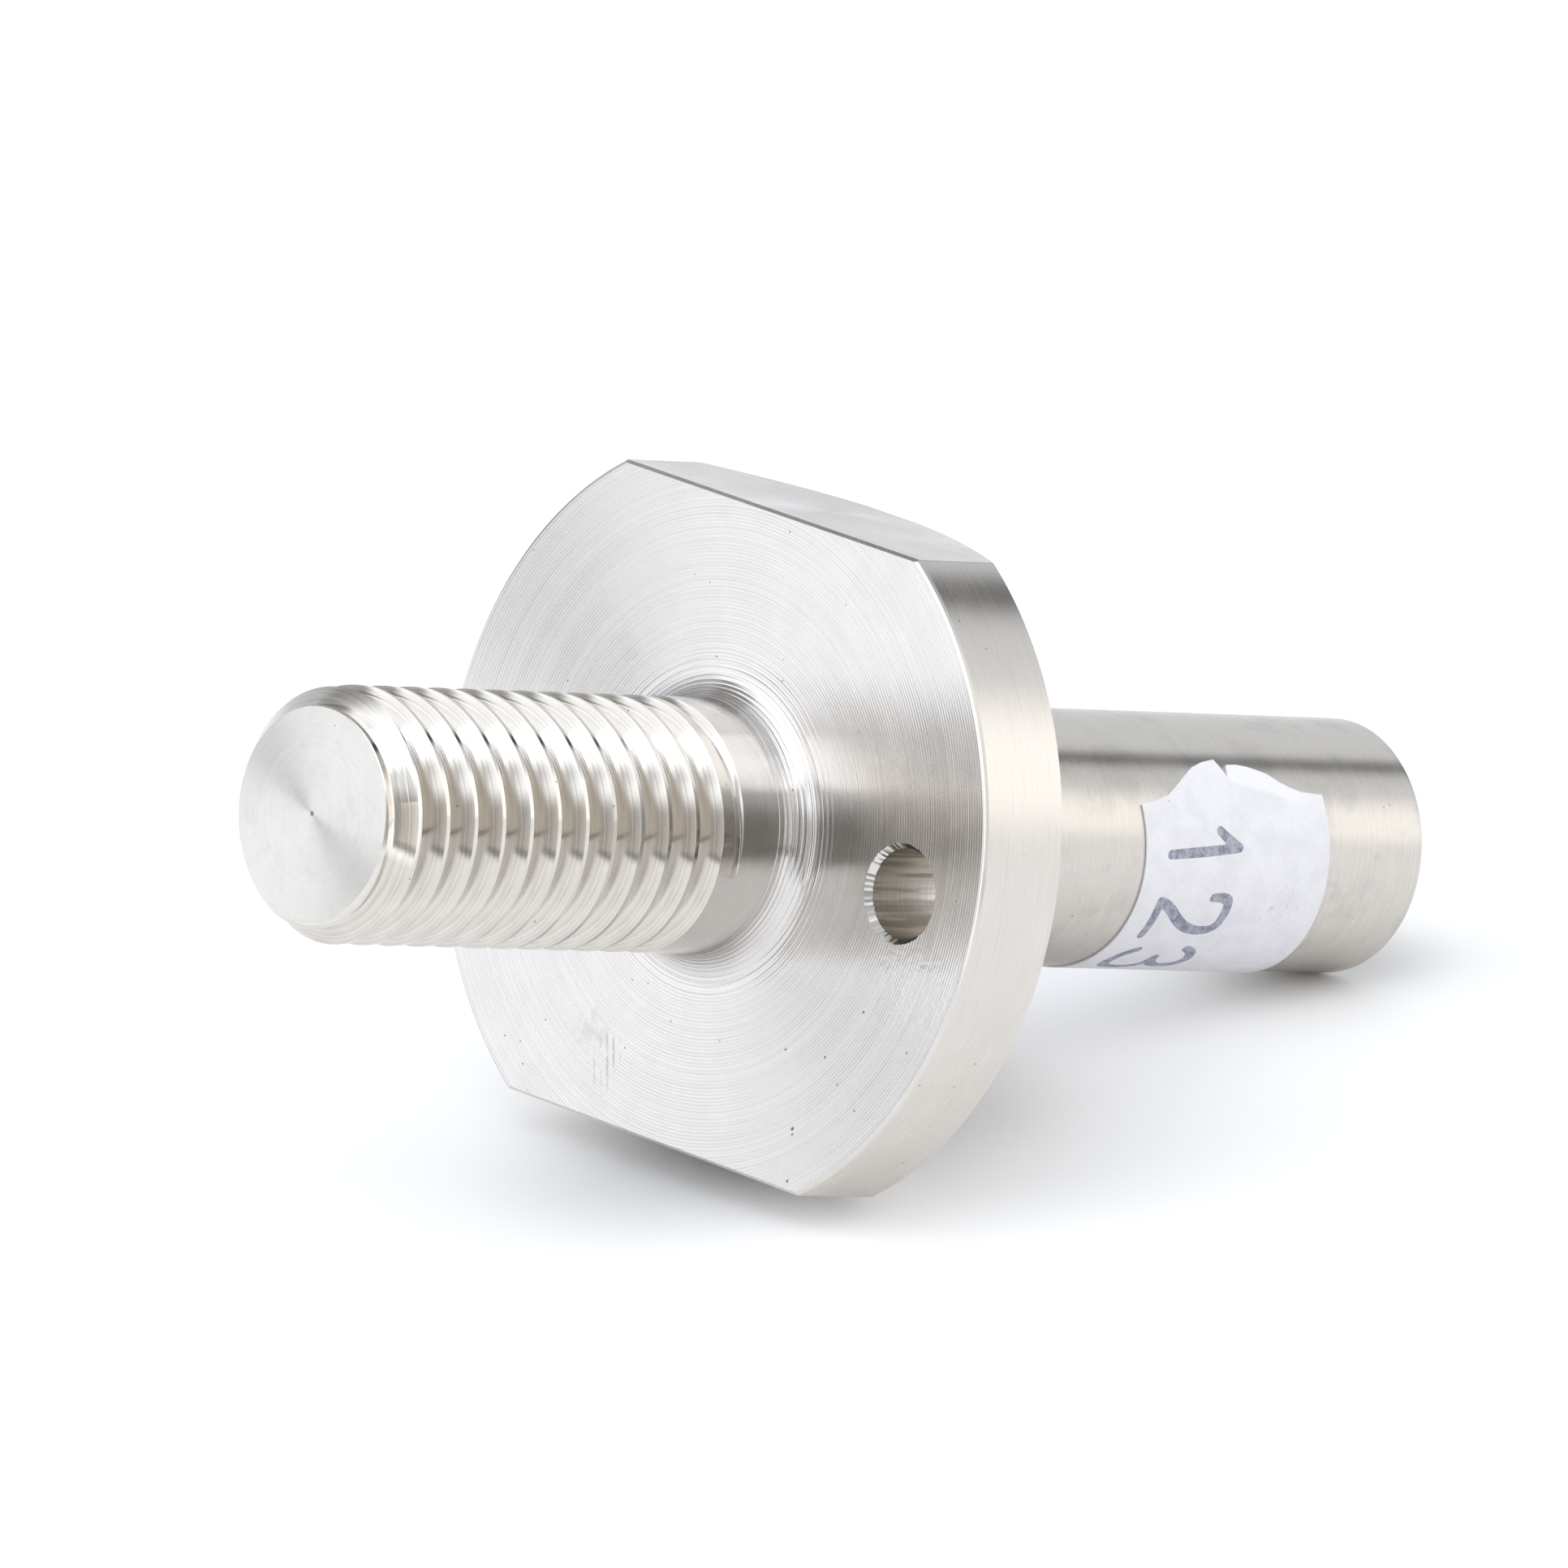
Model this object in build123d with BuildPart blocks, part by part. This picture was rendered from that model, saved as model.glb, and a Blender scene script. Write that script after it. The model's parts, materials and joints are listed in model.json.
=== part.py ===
"""Limit bolt: a threaded end, a plain neck, a round flange with two flats and a
small hole, and a plain shank that carries a torn paper label.

All sizes are in millimetres and all angles in degrees. Each piece is first made
about its own axis: local Z is the bolt's axis, z = 0 is the flange's front face,
the threaded end lies at negative z and the shank at positive z. Local X is the
direction in which the thread groove starts to fade. Last, the bolt and its label
are laid down as they rest on a floor at Z = 0.
"""

import os
from math import atan2, ceil, cos, degrees, radians, sin, tan

from build123d import *

os.makedirs("parts", exist_ok=True)

# Right-hand metric thread, its groove faded out over a part of a turn
pitch = 1.75
thread_diameter = 11.84
thread_depth = 1.0
crest_flat = 0.22
flank_angle = 30.0
fade_start = 4.6226
fade_turns = 0.5

# Threaded end and neck
front_length = 25.19
end_face_diameter = 9.76
neck_fillet = 1.4
neck_steps = 4

# Flange
flange_diameter = 36.0
flange_thickness = 7.8
rim_chamfer = 0.2
back_chamfer = 2.9
across_flats = 30.0
flat_edge_chamfer = 0.14

# Angle from where the groove fades to the middle of a flat
flat_angle = 75.0

# Hole beside the bolt's axis, a quarter turn from the flats
hole_diameter = 4.2
hole_offset = 12.85
hole_mouth_diameter = 4.62
hole_mouth_depth = 0.32

# Shank
shank_diameter = 12.0
shank_end = 41.0
shank_chamfer = 0.4

# Paper label round the shank: each end is cut a little askew, and its two ends
# leave a gap under the torn edge. Angles are counted from the middle of a flat.
paper_thickness = 0.1
label_front = 21.94
label_front_skew = 6.65
label_front_toward = 130.0
label_back = 34.675
label_back_skew = 4.6
label_back_toward = 194.5
tear_middle = 50.0

# Torn edge: distance from the flange's front face, and angle round the shank
tear_line = [
    (20.0, 64.0),
    (22.18, 61.6),
    (23.23, 59.5),
    (24.07, 56.7),
    (25.15, 49.8),
    (26.26, 42.9),
    (26.99, 40.3),
    (28.1, 38.5),
    (28.27, 49.1),
    (28.79, 41.4),
    (29.93, 41.9),
    (31.02, 45.1),
    (31.6, 48.7),
    (32.23, 51.5),
    (32.91, 53.4),
    (36.5, 56.0),
]

# How far the cutting shapes reach past the metal
groove_overshoot = 0.15
fade_overshoot = 0.02
cut_margin = 2.0

# Worked-out sizes
thread_radius = thread_diameter / 2
root_radius = thread_radius - thread_depth
flank_slope = tan(radians(flank_angle))
groove_width = pitch - crest_flat
root_flat = groove_width - 2 * thread_depth * flank_slope
cutter_width = groove_width + 2 * groove_overshoot * flank_slope
cutter_radius = thread_radius + groove_overshoot
thread_turns = ceil((front_length - fade_start) / pitch) + 1
fade_length = fade_turns * pitch
fade_cone = atan2(thread_depth + fade_overshoot, fade_length)
end_face_radius = end_face_diameter / 2
end_chamfer = thread_radius - end_face_radius
flange_radius = flange_diameter / 2
back_radius = flange_radius - back_chamfer
half_flats = across_flats / 2
shank_radius = shank_diameter / 2
paper_radius = shank_radius + paper_thickness
hole_radius = hole_diameter / 2
hole_mouth_radius = hole_mouth_diameter / 2

# The bolt's own planes: the flange's front face with its X toward a flat, and the
# half plane that the turned outline lies in, opposite the first flat
face_plane = Plane.XY.rotated((0, 0, flat_angle))
outline_plane = Plane(face_plane.origin, x_dir=-face_plane.x_dir, z_dir=face_plane.y_dir)


def turned_outline():
    """Outline of the turned bolt, in radius and distance along the axis."""
    step_angles = [radians(90 * step / neck_steps) for step in range(neck_steps + 1)]
    neck_corner = [
        (thread_radius + neck_fillet * (1 - cos(angle)), neck_fillet * (sin(angle) - 1))
        for angle in step_angles
    ]
    with BuildSketch(outline_plane) as outline:
        with BuildLine():
            Polyline(
                (0, -front_length),
                (end_face_radius, -front_length),
                (thread_radius, end_chamfer - front_length),
                *neck_corner,
                (flange_radius - rim_chamfer, 0),
                (flange_radius, rim_chamfer),
                (flange_radius, flange_thickness - back_chamfer),
                (back_radius, flange_thickness),
                (shank_radius, flange_thickness),
                (shank_radius, shank_end - shank_chamfer),
                (shank_radius - shank_chamfer, shank_end),
                (0, shank_end),
                close=True,
            )
        make_face()
    return outline.sketch


def groove_section(height):
    """Section of the thread groove on the local X side, centred at a height."""
    with BuildSketch(Plane.XZ) as section:
        with BuildLine():
            Polyline(
                (root_radius, height - root_flat / 2),
                (cutter_radius, height - cutter_width / 2),
                (cutter_radius, height + cutter_width / 2),
                (root_radius, height + root_flat / 2),
                close=True,
            )
        make_face()
    return section.sketch


# Bolt: one turned solid with its thread, flats and hole cut into it
with BuildPart() as limit_bolt:
    revolve(turned_outline(), axis=Axis.Z)

    # Thread groove at full depth, one turn after another to beyond the end face
    for turn in range(1, thread_turns + 1):
        turn_start = -fade_start - turn * pitch
        with BuildLine() as groove_path:
            Helix(pitch, pitch, root_radius, center=(0, 0, turn_start))
        sweep(groove_section(turn_start), groove_path.wire(), is_frenet=True, mode=Mode.SUBTRACT)

    # Its fading end, where the cutter draws out of the metal
    with BuildLine() as fade_path:
        Helix(
            pitch / cos(fade_cone),
            fade_length,
            root_radius,
            center=(0, 0, -fade_start),
            cone_angle=degrees(fade_cone),
        )
    sweep(groove_section(-fade_start), fade_path.wire(), is_frenet=True, mode=Mode.SUBTRACT)

    # Two flats on the flange, with broken front edges
    with BuildSketch(face_plane):
        Circle(flange_radius + cut_margin)
        Rectangle(across_flats, 2 * (flange_radius + cut_margin), mode=Mode.SUBTRACT)
    extrude(amount=flange_thickness, mode=Mode.SUBTRACT)
    edges_along_flats = limit_bolt.edges().filter_by(Axis(face_plane.origin, face_plane.y_dir))
    chamfer(edges_along_flats.group_by(Axis.Z)[0], flat_edge_chamfer)

    # Small hole through the flange, with an opened front mouth
    with BuildSketch(face_plane):
        with Locations((0, hole_offset)):
            Circle(hole_radius)
    extrude(amount=flange_thickness, mode=Mode.SUBTRACT)
    with BuildSketch(face_plane):
        with Locations((0, hole_offset)):
            Circle(hole_mouth_radius)
    extrude(
        amount=hole_mouth_depth,
        taper=degrees(atan2(hole_mouth_radius - hole_radius, hole_mouth_depth)),
        mode=Mode.SUBTRACT,
    )

# Label: a thin sheet round the shank
with BuildPart() as paper_label:
    with BuildSketch(face_plane.offset(label_front - cut_margin)):
        Circle(paper_radius)
        Circle(shank_radius, mode=Mode.SUBTRACT)
    extrude(amount=label_back - label_front + 2 * cut_margin)
    for distance, skew, toward, keep in (
        (label_front, label_front_skew, label_front_toward, Keep.TOP),
        (label_back, label_back_skew, label_back_toward, Keep.BOTTOM),
    ):
        # A plane that crosses the axis at this distance and rises toward one side
        turn = Rotation(0, 0, flat_angle + toward) * Rotation(0, -skew, 0)
        split(bisect_by=Plane(Location((0, 0, distance)) * turn), keep=keep)

    # Torn edge, cut through the sheet on one side
    tear_plane = Plane(
        face_plane.origin,
        x_dir=face_plane.z_dir,
        z_dir=face_plane.rotated((0, 0, tear_middle)).x_dir,
    )
    torn_points = [
        (distance, paper_radius * sin(radians(tear_middle - angle))) for distance, angle in tear_line
    ]
    with BuildSketch(tear_plane):
        with BuildLine():
            Polyline(
                *torn_points,
                (torn_points[-1][0], paper_radius + cut_margin),
                (torn_points[0][0], paper_radius + cut_margin),
                close=True,
            )
        make_face()
    extrude(amount=paper_radius + cut_margin, mode=Mode.SUBTRACT)

# The bolt lies on its lower flat's back edge and on the corner between the shank
# and its chamfer. Both touch the floor: the axis dips toward the shank's end.
flat_back = flange_thickness - max(0, half_flats - back_radius)
shank_corner = shank_end - shank_chamfer
tilt = atan2(half_flats - shank_radius, shank_corner - flat_back)
face_height = half_flats * cos(tilt) + flat_back * sin(tilt)

# The origin is on the floor, under the middle of the bolt's length as it lies
front_reach = front_length * cos(tilt) + end_face_radius * sin(tilt)
back_reach = max(
    shank_corner * cos(tilt) + shank_radius * sin(tilt),
    shank_end * cos(tilt) + (shank_radius - shank_chamfer) * sin(tilt),
)
axis_x = (front_reach - back_reach) / 2
lying = Plane((axis_x, 0, face_height), x_dir=(sin(tilt), 0, cos(tilt)), z_dir=(cos(tilt), 0, -sin(tilt)))
resting = lying.location * Rotation(0, 0, -flat_angle)

limit_bolt.part.move(resting)
limit_bolt.part.label = "limit_bolt"
export_step(limit_bolt.part, "parts/limit_bolt.step")

paper_label.part.move(resting)
paper_label.part.label = "paper_label"
export_step(paper_label.part, "parts/paper_label.step")
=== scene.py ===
"""Scene of a limit bolt: a turned steel bolt with a torn paper label round its shank.

Each piece is modelled about the bolt's own axis and then laid down where the bolt
rests. In the bolt's own axes Z runs from the threaded end to the shank's end and is
zero on the flange's front face, X points out of the upper flat, and Y points toward
the small hole. All lengths are in metres.
"""

import json
from collections import namedtuple
from math import atan2, cos, pi, radians, sin, sqrt, tan

import bmesh
import bpy
from bpy.props import FloatProperty, FloatVectorProperty, IntProperty, PointerProperty, StringProperty
from mathutils import Matrix, Vector


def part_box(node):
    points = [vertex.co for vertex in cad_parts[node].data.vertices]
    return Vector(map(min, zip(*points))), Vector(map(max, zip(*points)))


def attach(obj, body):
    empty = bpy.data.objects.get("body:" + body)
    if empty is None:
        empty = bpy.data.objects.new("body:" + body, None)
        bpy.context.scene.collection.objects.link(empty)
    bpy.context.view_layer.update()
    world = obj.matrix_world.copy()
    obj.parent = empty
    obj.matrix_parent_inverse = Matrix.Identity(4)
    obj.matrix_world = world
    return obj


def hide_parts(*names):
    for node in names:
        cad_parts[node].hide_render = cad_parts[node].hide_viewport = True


bl_info = {
    "name": "Limit bolt",
    "version": (1, 0, 0),
    "blender": (4, 5, 0),
    "location": "3D View > Sidebar > Limit bolt",
    "description": "Builds a turned limit bolt with its torn paper label, and a plain studio round it",
    "category": "Object",
}

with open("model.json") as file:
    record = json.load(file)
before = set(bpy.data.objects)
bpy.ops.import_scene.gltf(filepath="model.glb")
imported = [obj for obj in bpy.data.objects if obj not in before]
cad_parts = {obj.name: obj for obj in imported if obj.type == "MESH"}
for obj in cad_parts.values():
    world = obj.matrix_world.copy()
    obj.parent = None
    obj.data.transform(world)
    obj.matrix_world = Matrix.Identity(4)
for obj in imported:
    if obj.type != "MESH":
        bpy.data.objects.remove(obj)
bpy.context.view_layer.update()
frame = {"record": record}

# A millimetre and a micrometre, and how near two points count as one
MM = 0.001
UM = 0.000001
NEAR = 1 * UM
MERGE = 0.2 * UM

# Where the bolt lies: its axis and the centre of the flange's front face
SHANK_TIP = next(mount for mount in frame["record"]["mounts"] if mount["name"] == "shank_tip")
SHANK_LENGTH = 0.041
SHANK_RADIUS = 0.006
AXIS = Vector(SHANK_TIP["axis"]).normalized()
FACE_CENTRE = Vector(SHANK_TIP["pos_m"]) - SHANK_LENGTH * AXIS
UPWARD = Vector((-AXIS.z, 0, AXIS.x))
LYING = Matrix.Translation(FACE_CENTRE) @ Matrix((UPWARD, AXIS.cross(UPWARD), AXIS)).transposed().to_4x4()
FLANGE_RADIUS = (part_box("limit_bolt")[1].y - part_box("limit_bolt")[0].y) / 2

# Angle from where the thread groove fades to the middle of the upper flat, in degrees
FADE_ANGLE = 75.0

# Label: each end is cut a little askew, and angles are counted from the upper flat toward the hole
LABEL_ENDS = (
    {"distance": 0.02194, "skew": 6.65, "toward": 130.0, "keep_front": False},
    {"distance": 0.034675, "skew": 4.6, "toward": 194.5, "keep_front": True},
)

# Tear: millimetres from the flange's front face, and degrees round the shank
TEAR_MIDDLE = 50.0
TEAR_LINE = (
    (20.0, 64.0), (22.18, 61.6), (23.23, 59.5), (24.07, 56.7), (25.15, 49.8), (26.26, 42.9), (26.99, 40.3),
    (27.9, 38.4), (28.35, 47.5), (28.6, 41.2), (29.2, 40.9), (29.93, 41.9), (31.02, 45.1),
    (31.6, 48.7), (32.23, 51.5), (32.91, 53.4), (36.5, 56.0),
)

# Figures: degrees round the shank to the first and to the next, their foot, and their lean
FIRST_FIGURE, FIGURE_STEP, FIGURE_FOOT, FIGURE_LEAN = 83.5, 30.5, 0.02405, 0.09

# Strokes of the figures, as points of smooth lines, for a figure one unit high
STROKES = {
    "1": (((-0.2, 0.7), (-0.08, 0.84), (0.0, 0.99)), ((0.0, 0.99), (0.01, 0.5), (0.0, 0.0))),
    "2": (
        (
            (-0.2, 0.76), (-0.2, 0.99), (0.0, 1.02), (0.22, 0.98),
            (0.22, 0.68), (0.09, 0.42), (-0.16, 0.14), (-0.21, 0.01),
        ),
        ((-0.21, 0.01), (0.0, 0.03), (0.24, 0.01)),
    ),
    "3": (
        ((-0.2, 0.84), (-0.12, 1.02), (0.2, 1.02), (0.21, 0.6), (-0.04, 0.54)),
        ((-0.04, 0.54), (0.27, 0.54), (0.25, 0.0), (-0.12, -0.04), (-0.22, 0.16)),
    ),
}

# Camera: a long lens more than a metre away, at the photograph's angle
CAMERA_LENS = 605.04
CAMERA_PLACE = Vector((-0.77146783, -0.8486122, 0.42483765))
CAMERA_RIGHT = Vector((0.7384707, -0.674186, -0.01158673))
CAMERA_UPWARD = Vector((0.23413497, 0.24026987, 0.94204628))


# Sizes, colours and studio levels that a user would change

def length(name, description, default):
    return FloatProperty(
        name=name, description=description, default=default, min=0, unit="LENGTH", precision=5
    )


def colour(name, description, default):
    return FloatVectorProperty(
        name=name, description=description, default=default, subtype="COLOR", size=3, min=0, max=1
    )


def level(name, description, default):
    return FloatProperty(name=name, description=description, default=default)


class BoltSizes(bpy.types.PropertyGroup):
    segments: IntProperty(name="Segments", description="Steps round the turned faces", default=240, min=48)
    pitch: length("Pitch", "Distance from one thread crest to the next", 1.75 * MM)
    crest_radius: length("Crest radius", "Radius over the thread crests", 5.92 * MM)
    thread_depth: length("Thread depth", "Depth of the thread groove", 1.0 * MM)
    crest_flat: length("Crest flat", "Width of the flat on each crest", 0.22 * MM)
    flank_angle: FloatProperty(
        name="Flank angle", description="Slope of a thread flank", default=radians(30), subtype="ANGLE"
    )
    fade_start: length("Fade start", "From the flange to where the groove starts to fade", 4.6226 * MM)
    front_length: length("Threaded end", "Length in front of the flange", 25.19 * MM)
    end_radius: length("End face radius", "Radius of the flat end face", 4.88 * MM)
    neck_fillet: length("Neck fillet", "Radius of the corner between neck and flange", 1.4 * MM)
    flange_radius: length("Flange radius", "Outer radius of the flange", FLANGE_RADIUS)
    flange_thickness: length("Flange thickness", "Thickness of the flange", 7.8 * MM)
    rim_break: length("Rim edge", "Broken front edge of the rim", 0.2 * MM)
    back_chamfer: length("Back chamfer", "Chamfer behind the flange", 2.9 * MM)
    half_flats: length("Half flats", "From the axis to each flat", 15.0 * MM)
    flat_break: length("Flat edge", "Broken front edge of each flat", 0.14 * MM)
    hole_radius: length("Hole radius", "Radius of the small hole", 2.1 * MM)
    hole_offset: length("Hole offset", "From the axis to the small hole", 12.85 * MM)
    mouth_radius: length("Mouth radius", "Radius of the hole's opened mouth", 2.31 * MM)
    mouth_depth: length("Mouth depth", "Depth of the hole's opened mouth", 0.32 * MM)
    mouth_facets: IntProperty(name="Mouth facets", description="Chatter marks round the mouth", default=52)
    shank_radius: length("Shank radius", "Radius of the plain shank", SHANK_RADIUS)
    shank_length: length("Shank length", "From the flange's front face to the shank's end", SHANK_LENGTH)
    tip_round: length("Tip rounding", "Rounded edge at the shank's end", 0.45 * MM)


class SteelLook(bpy.types.PropertyGroup):
    steel: colour("Steel", "Bare stainless steel", (0.645, 0.622, 0.592))
    stain: colour("Stain", "Small stains and specks", (0.16, 0.13, 0.11))
    feed: length("Feed", "Spacing of the tool's feed rings on the flange", 0.16 * MM)


class LabelLook(bpy.types.PropertyGroup):
    inner_radius: length("Inner radius", "Inside of the paper", 6.012 * MM)
    thickness: length("Thickness", "Thickness of the paper", 0.084 * MM)
    paper: colour("Paper", "Label paper", (0.92, 0.912, 0.952))
    torn_paper: colour("Torn paper", "Paper where its top layer is torn off", (0.94, 0.936, 0.955))
    ink: colour("Ink", "Faded ink", (0.21, 0.22, 0.32))
    figures: StringProperty(name="Figures", description="Plain figures, of 1, 2 and 3", default="123")
    figure_height: length("Figure height", "Height of the figures", 4.5 * MM)
    stroke: length("Stroke", "Width of a figure's stroke", 0.56 * MM)


class StudioLook(bpy.types.PropertyGroup):
    floor: colour("Floor", "Floor of the studio", (0.90, 0.90, 0.905))
    floor_shine: level("Floor in metal", "Light added to the floor's mirror image", 0.22)
    floor_white: level("Floor in view", "Light added to the floor as the camera sees it", 0.18)
    side_level: level("Left side", "Brightness of the studio's left side", 1.95)
    right_level: level("Right side", "Brightness of the studio's right side", 1.15)
    wall_level: level("Back wall", "Brightness of the back wall", 0.93)
    ceiling_level: level("Ceiling", "Brightness of the rest of the ceiling", 0.72)
    top_level: level("Large light", "Brightness of the large light", 1.6)
    lamp_level: level("Small light", "Brightness of the small light at the right", 1.75)
    gap_level: level("Gaps", "Brightness of the gaps between the panels", 0.1)
    front_level: level("Front", "Brightness of the studio's open front", 0.25)


# Modelling by hand: small helpers round Blender's own operators

def leave_edit():
    bpy.ops.object.mode_set(mode="OBJECT")


def start_fresh():
    """Leave edit mode and deselect everything, the loaded part too."""
    if bpy.context.object and bpy.context.object.mode != "OBJECT":
        leave_edit()
    bpy.ops.object.select_all(action="DESELECT")


def take(piece):
    """Make one piece the only one that operators act on."""
    start_fresh()
    piece.select_set(True)
    bpy.context.view_layer.objects.active = piece


def apply_place(piece):
    take(piece)
    bpy.ops.object.transform_apply(location=True, rotation=True, scale=True)


def primitive(add, scale=(1, 1, 1), **settings):
    """Add a mesh with nothing else selected, its place and size in its mesh."""
    start_fresh()
    add(**settings)
    piece = bpy.context.object
    piece.scale = scale
    apply_place(piece)
    return piece


def edit(piece, mode="FACE"):
    take(piece)
    bpy.ops.object.mode_set(mode="EDIT")
    bpy.ops.mesh.select_mode(type=mode)


def select_all():
    bpy.ops.mesh.select_all(action="SELECT")


def select_none():
    bpy.ops.mesh.select_all(action="DESELECT")


def pick(piece, kind, test):
    """Select just the verts, edges or faces that pass a test, in edit mode."""
    select_none()
    mesh = bmesh.from_edit_mesh(piece.data)
    found = [part for part in getattr(mesh, kind) if test(part)]
    for part in found:
        part.select_set(True)
    mesh.select_flush_mode()
    bmesh.update_edit_mesh(piece.data)
    if not found:
        raise RuntimeError(f"nothing to select on {piece.name}")


def draw_out(x, y, z):
    """Extrude what is selected, in edit mode."""
    bpy.ops.mesh.extrude_region_move(TRANSFORM_OT_translate={"value": (x, y, z)})


def resize(scale, centre=(0, 0, 0)):
    bpy.ops.transform.resize(value=scale, center_override=centre)


def close_edit():
    """Turn every face outward and leave edit mode."""
    select_all()
    bpy.ops.mesh.normals_make_consistent(inside=False)
    leave_edit()


def outward(piece):
    """Merge doubles and turn every face outward."""
    edit(piece, "VERT")
    select_all()
    bpy.ops.mesh.remove_doubles(threshold=MERGE)
    close_edit()


def use_modifier(piece, kind, **settings):
    """Add a modifier, set it and apply it."""
    take(piece)
    bpy.ops.object.modifier_add(type=kind)
    modifier = piece.modifiers[-1]
    for name, value in settings.items():
        setattr(modifier, name, value)
    bpy.ops.object.modifier_apply(modifier=modifier.name)


def cut(piece, cutter):
    """Cut one closed shape out of another, and delete the cutter."""
    use_modifier(piece, "BOOLEAN", operation="DIFFERENCE", solver="EXACT", object=cutter)
    bpy.data.objects.remove(cutter, do_unlink=True)


def smooth(piece, angle):
    take(piece)
    bpy.ops.object.shade_smooth_by_angle(angle=radians(angle), keep_sharp_edges=False)


def lay_down(piece, name):
    """Put a finished piece where the bolt lies, with its place in its mesh."""
    piece.name = name
    piece.data.name = name
    piece.matrix_world = LYING @ piece.matrix_world
    apply_place(piece)
    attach(piece, "root")


def wear(piece, *materials):
    """Give a piece these materials in place of its own."""
    piece.data.materials.clear()
    for material in materials:
        piece.data.materials.append(material)


def around(point, centre_y=0.0):
    """Distance from the bolt's axis, or from a line beside it."""
    return sqrt(point.x**2 + (point.y - centre_y) ** 2)


# Materials

class Nodes:
    """A few short ways to wire a material's nodes."""

    def __init__(self, tree):
        self.tree = tree

    def add(self, kind, inputs=(), **settings):
        count = len(self.tree.nodes)
        node = self.tree.nodes.new(kind)
        node.location = (count * 40, -(count % 7) * 160)
        for name, value in settings.items():
            setattr(node, name, value)
        for key, value in dict(inputs).items():
            if isinstance(value, bpy.types.NodeSocket):
                self.tree.links.new(value, node.inputs[key])
            else:
                node.inputs[key].default_value = value
        return node

    def math(self, kind, a, b=0.0, c=0.0):
        return self.add("ShaderNodeMath", {0: a, 1: b, 2: c}, operation=kind).outputs[0]

    def plus(self, a, b):
        return self.math("ADD", a, b)

    def minus(self, a, b):
        return self.math("SUBTRACT", a, b)

    def times(self, a, b):
        return self.math("MULTIPLY", a, b)

    def times_add(self, a, b, c):
        return self.math("MULTIPLY_ADD", a, b, c)

    def larger(self, a, b):
        return self.math("MAXIMUM", a, b)

    def vector(self, kind, a, b=(0, 0, 0), output="Vector"):
        return self.add("ShaderNodeVectorMath", {0: a, 1: b}, operation=kind).outputs[output]

    def dot(self, a, b):
        return self.vector("DOT_PRODUCT", a, b, output="Value")

    def point(self, x, y, z=0.0):
        return self.add("ShaderNodeCombineXYZ", {0: x, 1: y, 2: z}).outputs[0]

    def parts(self, vector):
        return self.add("ShaderNodeSeparateXYZ", {0: vector}).outputs

    def distance(self, x, y):
        return self.vector("LENGTH", self.point(x, y), output="Value")

    def stretched(self, vector, scale, turn):
        """A place that is scaled along its axes and then turned."""
        return self.add("ShaderNodeMapping", {"Vector": vector, "Scale": scale, "Rotation": turn}).outputs[0]

    def ramp(self, value, low, high, out_low=0.0, out_high=1.0, soft=True):
        inputs = {"Value": value, "From Min": low, "From Max": high, "To Min": out_low, "To Max": out_high}
        kind = "SMOOTHSTEP" if soft else "LINEAR"
        return self.add("ShaderNodeMapRange", inputs, interpolation_type=kind).outputs[0]

    def mix(self, share, a, b):
        inputs = {0: share, 6: a, 7: b}
        return self.add("ShaderNodeMix", inputs, data_type="RGBA", clamp_factor=True).outputs[2]

    def shade(self, colour, tone, tint=(1.0, 1.0, 1.0)):
        """A colour with a tint, made darker or paler from place to place."""
        tinted = [c * share for c, share in zip(colour, tint)]
        return self.add("ShaderNodeVectorMath", {0: tinted, "Scale": tone}, operation="SCALE").outputs[0]

    def noise(self, vector, scale=1.0, detail=2.0, rough=0.5):
        inputs = {"Vector": vector, "Scale": scale, "Detail": detail, "Roughness": rough}
        return self.add("ShaderNodeTexNoise", inputs).outputs[0]

    def line_noise(self, place, scale, detail=2.0, rough=0.5):
        """Noise that changes only along one line."""
        inputs = {"W": place, "Scale": scale, "Detail": detail, "Roughness": rough}
        return self.add("ShaderNodeTexNoise", inputs, noise_dimensions="1D").outputs[0]


def rgba(value, share=1.0):
    return (*[c * share for c in value], 1.0)


def new_material(name):
    material = bpy.data.materials.new(name)
    material.use_nodes = True
    material.node_tree.nodes.clear()
    return material, Nodes(material.node_tree)


def finish_material(nodes, inputs, height=None):
    """Close a material with its shader, and with its bumps where it has any."""
    if height is not None:
        bump = nodes.add("ShaderNodeBump", {"Height": height, "Strength": 1.0, "Distance": 1.0})
        inputs = {**inputs, "Normal": bump.outputs[0]}
    shader = nodes.add("ShaderNodeBsdfPrincipled", inputs)
    nodes.add("ShaderNodeOutputMaterial", {0: shader.outputs[0]})


Place = namedtuple("Place", "point x y z radius angle")


def bolt_place(nodes):
    """Place on the bolt in its own axes, with its distance from the axis and its angle."""
    coordinates = nodes.add("ShaderNodeTexCoord").outputs["Object"]
    inputs = {"Vector": coordinates, "Location": LYING.to_translation(), "Rotation": LYING.to_euler()}
    point = nodes.add("ShaderNodeMapping", inputs, vector_type="TEXTURE").outputs[0]
    x, y, z = nodes.parts(point)
    return Place(point, x, y, z, nodes.distance(x, y), nodes.math("ARCTAN2", y, x))


def along_turning(nodes):
    """Direction round the bolt's axis, in which the lathe's marks run."""
    coordinates = nodes.add("ShaderNodeTexCoord").outputs["Object"]
    arm = nodes.vector("SUBTRACT", coordinates, FACE_CENTRE)
    return nodes.vector("NORMALIZE", nodes.vector("CROSS_PRODUCT", tuple(AXIS), arm))


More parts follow.
